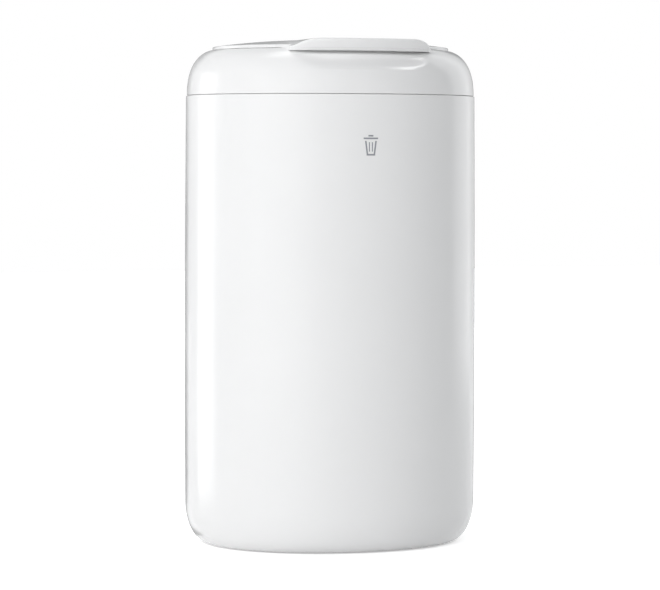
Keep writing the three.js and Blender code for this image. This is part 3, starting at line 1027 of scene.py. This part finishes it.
# Steps behind the flap's edge where the lip enters it: on top, below, and inside with its height
lip["enter"] = {"top": 1.4, "low": 1.0, "inside": 1.6, "insideUp": 0.9}
lip["footTurn"] = ((0.05, 0.64), (0.14, 0.42), (0.3, 0.2), (0.52, 0.06), (0.8, 0))
lip["face"] = (
    (0.72, 0.004),
    (0.84, 0.018),
    (0.93, 0.045),
    (0.985, 0.09),
    (1, 0.14),
    (0.98, 0.2),
    (0.93, 0.26),
    (0.86, 0.33),
    (0.76, 0.41),
    (0.64, 0.5),
    (0.5, 0.6),
    (0.36, 0.7),
    (0.24, 0.78),
)


def lipSection(x):
    # one slice across the lip; past its rounded end it shrinks into the flap's rim
    p, edge, plateZ, into = lip, dome["inset"], dome["low"], lip["enter"]
    beyond = clamped((abs(x) - p["half"]) / p["flare"])
    past = clamped((abs(x) - p["flatHalf"]) / (p["half"] - p["flatHalf"]))
    bend = clamped((abs(x) - p["endStart"]) / (p["half"] - p["endStart"]))
    top = p["lowZ"] + (p["topZ"] - p["lowZ"]) * (1 - past ** p["fallPower"]) ** p["fallEase"]
    top = smoothMax(top, p["shelfZ"] + p["shelfRise"] * beyond, p["shelfSoft"])
    front = p["front"] + p["endRound"] * (1 - math.sqrt(1 - bend**2))
    run = math.sqrt(1 - (1 - beyond) ** 2)
    front += (edge + p["endSunk"] - front) * run
    low = p["lowZ"] + (plateZ + p["endLift"] - p["lowZ"]) * (1 - (1 - run) ** p["lowPower"])
    face = top - low
    lean = p["lean"] * face / (p["topZ"] - p["lowZ"]) * (1 - run)
    foot = min(p["foot"], face * p["footShare"])
    grip = max(p["grip"], front + p["gripBehind"])
    rootZ = domeZ(x, frontY(x, p["root"]))
    rows = [(p["root"], rootZ - p["rootSunk"]), (edge + into["top"], top)]
    rows.append((front - lean * p["browLean"] + p["brow"], top))
    rows += [(front - lean * out + p["browEase"] * (1 - out), top - face * fall) for out, fall in p["face"]]
    rows += [(front + out * foot, low + up * foot) for out, up in p["footTurn"]]
    rows += [(grip, low), (grip + p["gripRun"], plateZ)]
    rows.append((max(edge + into["low"], grip + p["gripEnd"]), plateZ))
    rows += [(edge + into["inside"], plateZ + into["insideUp"]), (p["root"], rootZ - p["rootUnder"])]
    return [(x, frontY(x, inset), z) for inset, z in rows]


def lipMesh():
    p = lip
    half = [p["half"] * math.sin(k / p["halfSteps"] * math.pi / 2) for k in range(p["halfSteps"] + 1)]
    half += [p["half"] + p["flare"] * (k / p["flareSteps"]) ** 2 for k in range(1, p["flareSteps"] + 1)]
    return loftMesh([lipSection(x) for x in [-x for x in half[:0:-1]] + half])


def ribMesh(isAcross, at):
    r = rib
    edge = dome["inset"] + r["start"]
    low = dome["low"] + r["low"]
    loops = []
    for i in range(r["steps"] + 1):
        t = i / r["steps"]
        if isAcross:
            half = sideX(at - oval["widestY"], edge)
            x, y = -half + 2 * half * t, at
        else:
            start = frontY(at, edge)
            x, y = at, start + (r["backY"] - start) * t
        top = domeZ(x, y, r["under"])
        corners = [(-r["half"], low), (r["half"], low), (r["half"], top), (-r["half"], top)]
        loops.append([(x, y + w, z) if isAcross else (x + w, y, z) for w, z in corners])
    return loftMesh(loops)


def skirtMesh():
    f = flap
    outer, inner = f["skirtInset"], f["skirtInset"] + f["skirtWall"]
    low, high = dome["low"] - f["skirtDrop"], dome["low"] + f["skirtTop"]
    soft = f["skirtRound"]
    corners = [(outer, low, soft), (outer, high, 0), (inner, high, 0), (inner, low, soft)]
    hoop = loftMesh([ovalLoop(inset, z) for inset, z in filleted(corners)], isRing=True)
    return keepMesh(hoop, f["skirtBackY"], 1)


def rollMeshes():
    # the plain spans of the rolled edge, and the knuckles that turn on the pins between the lugs
    h = hinge
    first, second = h["lugs"]
    plain = mirroredSpans([(second[1] + h["gap"], h["half"])]) + [(-first[0] + h["gap"], first[0] - h["gap"])]
    knuckles = mirroredSpans([(first[1] + h["gap"], second[0] - h["gap"])])
    rolls = [barLoft(rollRadius, None, start, end) for start, end in plain]
    return rolls + [barLoft(rollRadius, h["bore"], start, end) for start, end in knuckles]


def makeFlap():
    f, low = flap, dome["low"]
    plate = keepMesh(domeMesh(dome["inset"], low), hinge["y"] - f["plateBack"], 1)
    piece = makePiece("flap_cover", plate, glossWhite, "flap")
    hollow = domeMesh(dome["inset"] + f["rimWall"], low - f["thick"], f["thick"])
    cutBy(piece, keepMesh(hollow, hinge["y"] - f["hollowBack"], 1))
    ribs = [ribMesh(False, x) for x in rib["atX"]] + [ribMesh(True, y) for y in rib["atY"]]
    pourInto(piece, [lipMesh(), skirtMesh(), *ribs, *rollMeshes()])
    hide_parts("flap")


makeFlap()
print("flap made")


# A plain waste pictogram on the front, printed in grey

sign = {
    "z": 239.0,
    "line": 0.9,
    "lift": 0.06,
    "sunk": 0.1,
    "columnGap": 0.6,
    "rowGap": 2.0,
    "lid": (4.4, 3.4),  # half width and height over the middle
    "grip": (1.5, 4.9),
    "canHalf": 2.6,
    "canLow": -5.2,
    "canTop": 2.4,
    "lean": 1.0,
    "slotX": 0.9,
    "slotLow": -3.8,
    "slotTop": 1.6,
}


def signBar(x0, x1, z0, z1, lean=0.0):
    # one flat printed bar that follows the curve of the wall; lean shifts its top sideways
    columns = max(math.ceil(abs(x1 - x0) / sign["columnGap"]), 1)
    rows = max(math.ceil(abs(z1 - z0) / sign["rowGap"]), 1)
    mesh = bmesh.new()
    grid = []
    for depth in (-sign["lift"], sign["sunk"]):
        layer = []
        for j in range(rows + 1):
            line = []
            for i in range(columns + 1):
                z = sign["z"] + z0 + (z1 - z0) * j / rows
                x = x0 + (x1 - x0) * i / columns + lean * j / rows
                line.append(mesh.verts.new(Vector((x, frontY(x, wallDraw(z)) + depth, z)) * mm))
            layer.append(line)
        grid.append(layer)
    outer, inner = grid
    for j in range(rows):
        for i in range(columns):
            mesh.faces.new((outer[j][i], outer[j][i + 1], outer[j + 1][i + 1], outer[j + 1][i]))
            mesh.faces.new((inner[j][i], inner[j + 1][i], inner[j + 1][i + 1], inner[j][i + 1]))
    for j in range(rows):
        for i in (0, columns):
            mesh.faces.new((outer[j][i], outer[j + 1][i], inner[j + 1][i], inner[j][i]))
    for i in range(columns):
        for j in (0, rows):
            mesh.faces.new((outer[j][i], outer[j][i + 1], inner[j][i + 1], inner[j][i]))
    bmesh.ops.recalc_face_normals(mesh, faces=mesh.faces)
    return mesh


def makeSign():
    s, w = sign, sign["line"]
    bars = [signBar(-half, half, z, z + w) for half, z in (s["lid"], s["grip"])]
    can, low, top = s["canHalf"], s["canLow"], s["canTop"]
    bars.append(signBar(-can, -can + w, low, top, lean=-s["lean"]))
    bars.append(signBar(can - w, can, low, top, lean=s["lean"]))
    bars.append(signBar(-can, can, low - w, low))
    for x in (-s["slotX"], s["slotX"]):
        bars.append(signBar(x - w / 3, x + w / 3, s["slotLow"], s["slotTop"]))
    makePiece("printed_sign", joined(bars), greyInk, "bucket")


makeSign()
print("sign made")


# Floor, light and camera, in metres

stage = {
    "size": 8.0,
    "color": (0.9, 0.9, 0.9, 1),
    "mottle": 0.01,
    "grainScale": 300,
    "grainHeight": 0.00005,
    "roughness": 0.6,
    "glow": (0.52, 0.75),
    "glowRadius": (0.3, 2.5),
    # an oval under the bin's foot where the floor glows less: painted shade, share of the oval where it
    # starts, and the glow kept there
    "foot": (0.079, 0.066),
    "footEdge": 0.9,
    "footShadeGlow": 0.7,
}


def lengthOf(tree, vector):
    measure = tree.nodes.new("ShaderNodeVectorMath")
    measure.operation = "LENGTH"
    tree.links.new(vector, measure.inputs[0])
    return measure.outputs["Value"]


def combined(tree, operation, first, second):
    node = tree.nodes.new("ShaderNodeMath")
    node.operation = operation
    tree.links.new(first, node.inputs[0])
    tree.links.new(second, node.inputs[1])
    return node.outputs["Value"]


def seenRays(tree):
    # 1 for rays from the camera and for those that reflect or pass through a surface, 0 for lighting rays
    path = tree.nodes.new("ShaderNodeLightPath")
    total = path.outputs["Is Camera Ray"]
    for kind in ("Is Glossy Ray", "Is Transmission Ray"):
        total = combined(tree, "MAXIMUM", total, path.outputs[kind])
    return total


def paleMaterial():
    # a pale floor that turns white away from the bin and keeps its shadow, with painted shade under the bin's
    # foot
    s = stage
    material, tree, surface, where = newMaterial("pale floor")
    grain = noiseAt(tree, where, s["grainScale"])
    tree.links.new(tinted(tree, grain, s["color"], s["mottle"]), surface.inputs["Base Color"])
    surface.inputs["Roughness"].default_value = s["roughness"]
    tree.links.new(bumped(tree, [(grain, s["grainHeight"])]), surface.inputs["Normal"])
    glow = mapped(tree, lengthOf(tree, where), s["glowRadius"], s["glow"], isSmooth=True)
    glow = combined(tree, "MULTIPLY", glow, seenRays(tree))
    # 1 from an oval round the foot of the bin outwards; inside it the floor glows less, which paints shade
    # under the bin on top of its real shadow
    reach = lengthOf(tree, scaled(tree, where, [1 / half for half in s["foot"]] + [1]))
    paintedFootShade = mapped(tree, reach, (s["footEdge"], 1), (s["footShadeGlow"], 1))
    glow = combined(tree, "MULTIPLY", glow, paintedFootShade)
    tree.links.new(glow, surface.inputs["Emission Strength"])
    surface.inputs["Emission Color"].default_value = (1, 1, 1, 1)
    return material


def makeFloor():
    mesh = bmesh.new()
    half = stage["size"] / 2
    corners = [(-half, -half), (half, -half), (half, half), (-half, half)]
    mesh.faces.new([mesh.verts.new((x, y, 0)) for x, y in corners])
    newObject("floor", mesh, paleMaterial())


studio = {
    "seen": ((1, 1, 1, 1), 1.0),
    "lighting": ((0.94, 0.97, 1, 1), 0.31),
}


def makeWorld():
    # white where it is seen, and a weaker fill where it lights
    world = bpy.data.worlds.new("studio")
    bpy.context.scene.world = world
    world.use_nodes = True
    tree = world.node_tree
    tree.nodes.clear()
    output = tree.nodes.new("ShaderNodeOutputWorld")
    mix = tree.nodes.new("ShaderNodeMixShader")
    tree.links.new(seenRays(tree), mix.inputs["Fac"])
    for place, kind in ((1, "lighting"), (2, "seen")):
        color, strength = studio[kind]
        background = tree.nodes.new("ShaderNodeBackground")
        background.inputs["Color"].default_value = color
        background.inputs["Strength"].default_value = strength
        tree.links.new(background.outputs["Background"], mix.inputs[place])
    tree.links.new(mix.outputs["Shader"], output.inputs["Surface"])


lights = {
    # azimuth from the bin's front towards its right and height in degrees; distance, width and height
    # in metres; where the white studio shows in the gloss instead of a lamp, inGloss is off; a card
    # shows in the gloss alone
    "key on the left": {"at": (-46, 15, 2.0), "size": (1.9, 2.0), "strength": 2.6, "inGloss": False},
    "strip behind the left": {"at": (-131, 20, 1.5), "size": (0.22, 2.2), "strength": 1.5, "inGloss": False},
    "panel on the right": {"at": (108, 14, 1.5), "size": (0.95, 2.2), "strength": 1.12},
    "panel behind": {"at": (180, 5, 2.0), "size": (1.9, 2.0), "strength": 1.0, "inGloss": False},
    "top strip": {"at": (225, 78, 1.6), "size": (0.9, 0.36), "strength": 3.2},
    "left card": {"at": (-116, 0, 0.32), "size": (0.145, 0.44), "strength": 2.1, "isCard": True},
    "top right card": {"at": (67, 56, 1.0), "size": (0.2, 0.16), "strength": 8.0, "isCard": True},
}
lampTarget = Vector((0, 0, 0.15))  # the middle of the bin


def softLight(name, setting):
    data = bpy.data.lights.new(name, "AREA")
    data.shape = "RECTANGLE"
    data.size, data.size_y = setting["size"]
    data.energy = math.pi * data.size * data.size_y * setting["strength"]
    lamp = bpy.data.objects.new(name, data)
    swing, high = (math.radians(angle) for angle in setting["at"][:2])
    level = math.cos(high)
    towards = Vector((math.sin(swing) * level, -math.cos(swing) * level, math.sin(high)))
    lamp.location = towards * setting["at"][2] + lampTarget
    lamp.rotation_euler = (-towards).to_track_quat("-Z", "Y").to_euler()
    lamp.visible_camera = False
    lamp.visible_glossy = setting.get("inGloss", True)
    lamp.visible_diffuse = not setting.get("isCard", False)
    bpy.context.scene.collection.objects.link(lamp)


view = {
    "place": (-0.5429, -1.6607, 0.2322),
    "aim": (0.309318, 0.949767, -0.04768),
    "roll": 0.0023,
    "lens": 158.07,
    "sensor": 36,
}
flags = {
    # distance behind the bin, then the inner and the outer edge as (across the view, height),
    # from the floor on the left round to the floor on the right
    "frame": (
        (-0.02, (-0.084, 0.001), (-0.088, 0.001)),
        (0.03, (-0.086, 0.001), (-0.101, 0.001)),
        (0.1, (-0.09, 0.001), (-0.128, 0.001)),
        (0.3, (-0.125, 0.001), (-0.26, 0.001)),
        (0.3, (-0.125, 0.325), (-0.26, 0.425)),
        (0.3, (0.115, 0.325), (0.165, 0.425)),
        (0.3, (0.115, 0.001), (0.165, 0.001)),
        (0.15, (0.098, 0.001), (0.125, 0.001)),
    ),
    "color": (0.05, 0.05, 0.05),
    "mottle": 0.1,
    "grainScale": 200,
    "roughness": 0.8,
}


def boardMaterial():
    material, tree, surface, where = newMaterial("grey board")
    grain = noiseAt(tree, where, flags["grainScale"])
    tree.links.new(tinted(tree, grain, flags["color"], flags["mottle"]), surface.inputs["Base Color"])
    surface.inputs["Roughness"].default_value = flags["roughness"]
    return material


def makeFlags():
    # grey boards round the backdrop, hidden from the camera, that draw a thin darker line along the
    # bin's outline in its gloss
    ahead = Vector(view["aim"])
    ahead.z = 0
    ahead.normalize()
    across = Vector((ahead.y, -ahead.x, 0))
    mesh = bmesh.new()
    rows = []
    for away, *edges in flags["frame"]:
        places = [ahead * away + across * side + Vector((0, 0, up)) for side, up in edges]
        rows.append([mesh.verts.new(place) for place in places])
    for low, high in zip(rows, rows[1:]):
        mesh.faces.new((low[0], low[1], high[1], high[0]))
    boards = newObject("flags", mesh, boardMaterial())
    boards.visible_camera = False
    boards.visible_diffuse = False
    boards.visible_shadow = False


def makeCamera():
    data = bpy.data.cameras.new("camera")
    data.lens = view["lens"]
    data.sensor_width = view["sensor"]
    data.sensor_fit = "HORIZONTAL"
    camera = bpy.data.objects.new("camera", data)
    turn = Vector(view["aim"]).to_track_quat("-Z", "Y").to_matrix().to_4x4()
    camera.matrix_world = Matrix.Translation(view["place"]) @ turn @ Matrix.Rotation(view["roll"], 4, "Z")
    bpy.context.scene.collection.objects.link(camera)
    bpy.context.scene.camera = camera


makeFloor()
makeWorld()
for lightName, lightSetting in lights.items():
    softLight(lightName, lightSetting)
makeFlags()
makeCamera()
bpy.context.scene.view_settings.view_transform = "Standard"
print("stage, light and camera made")
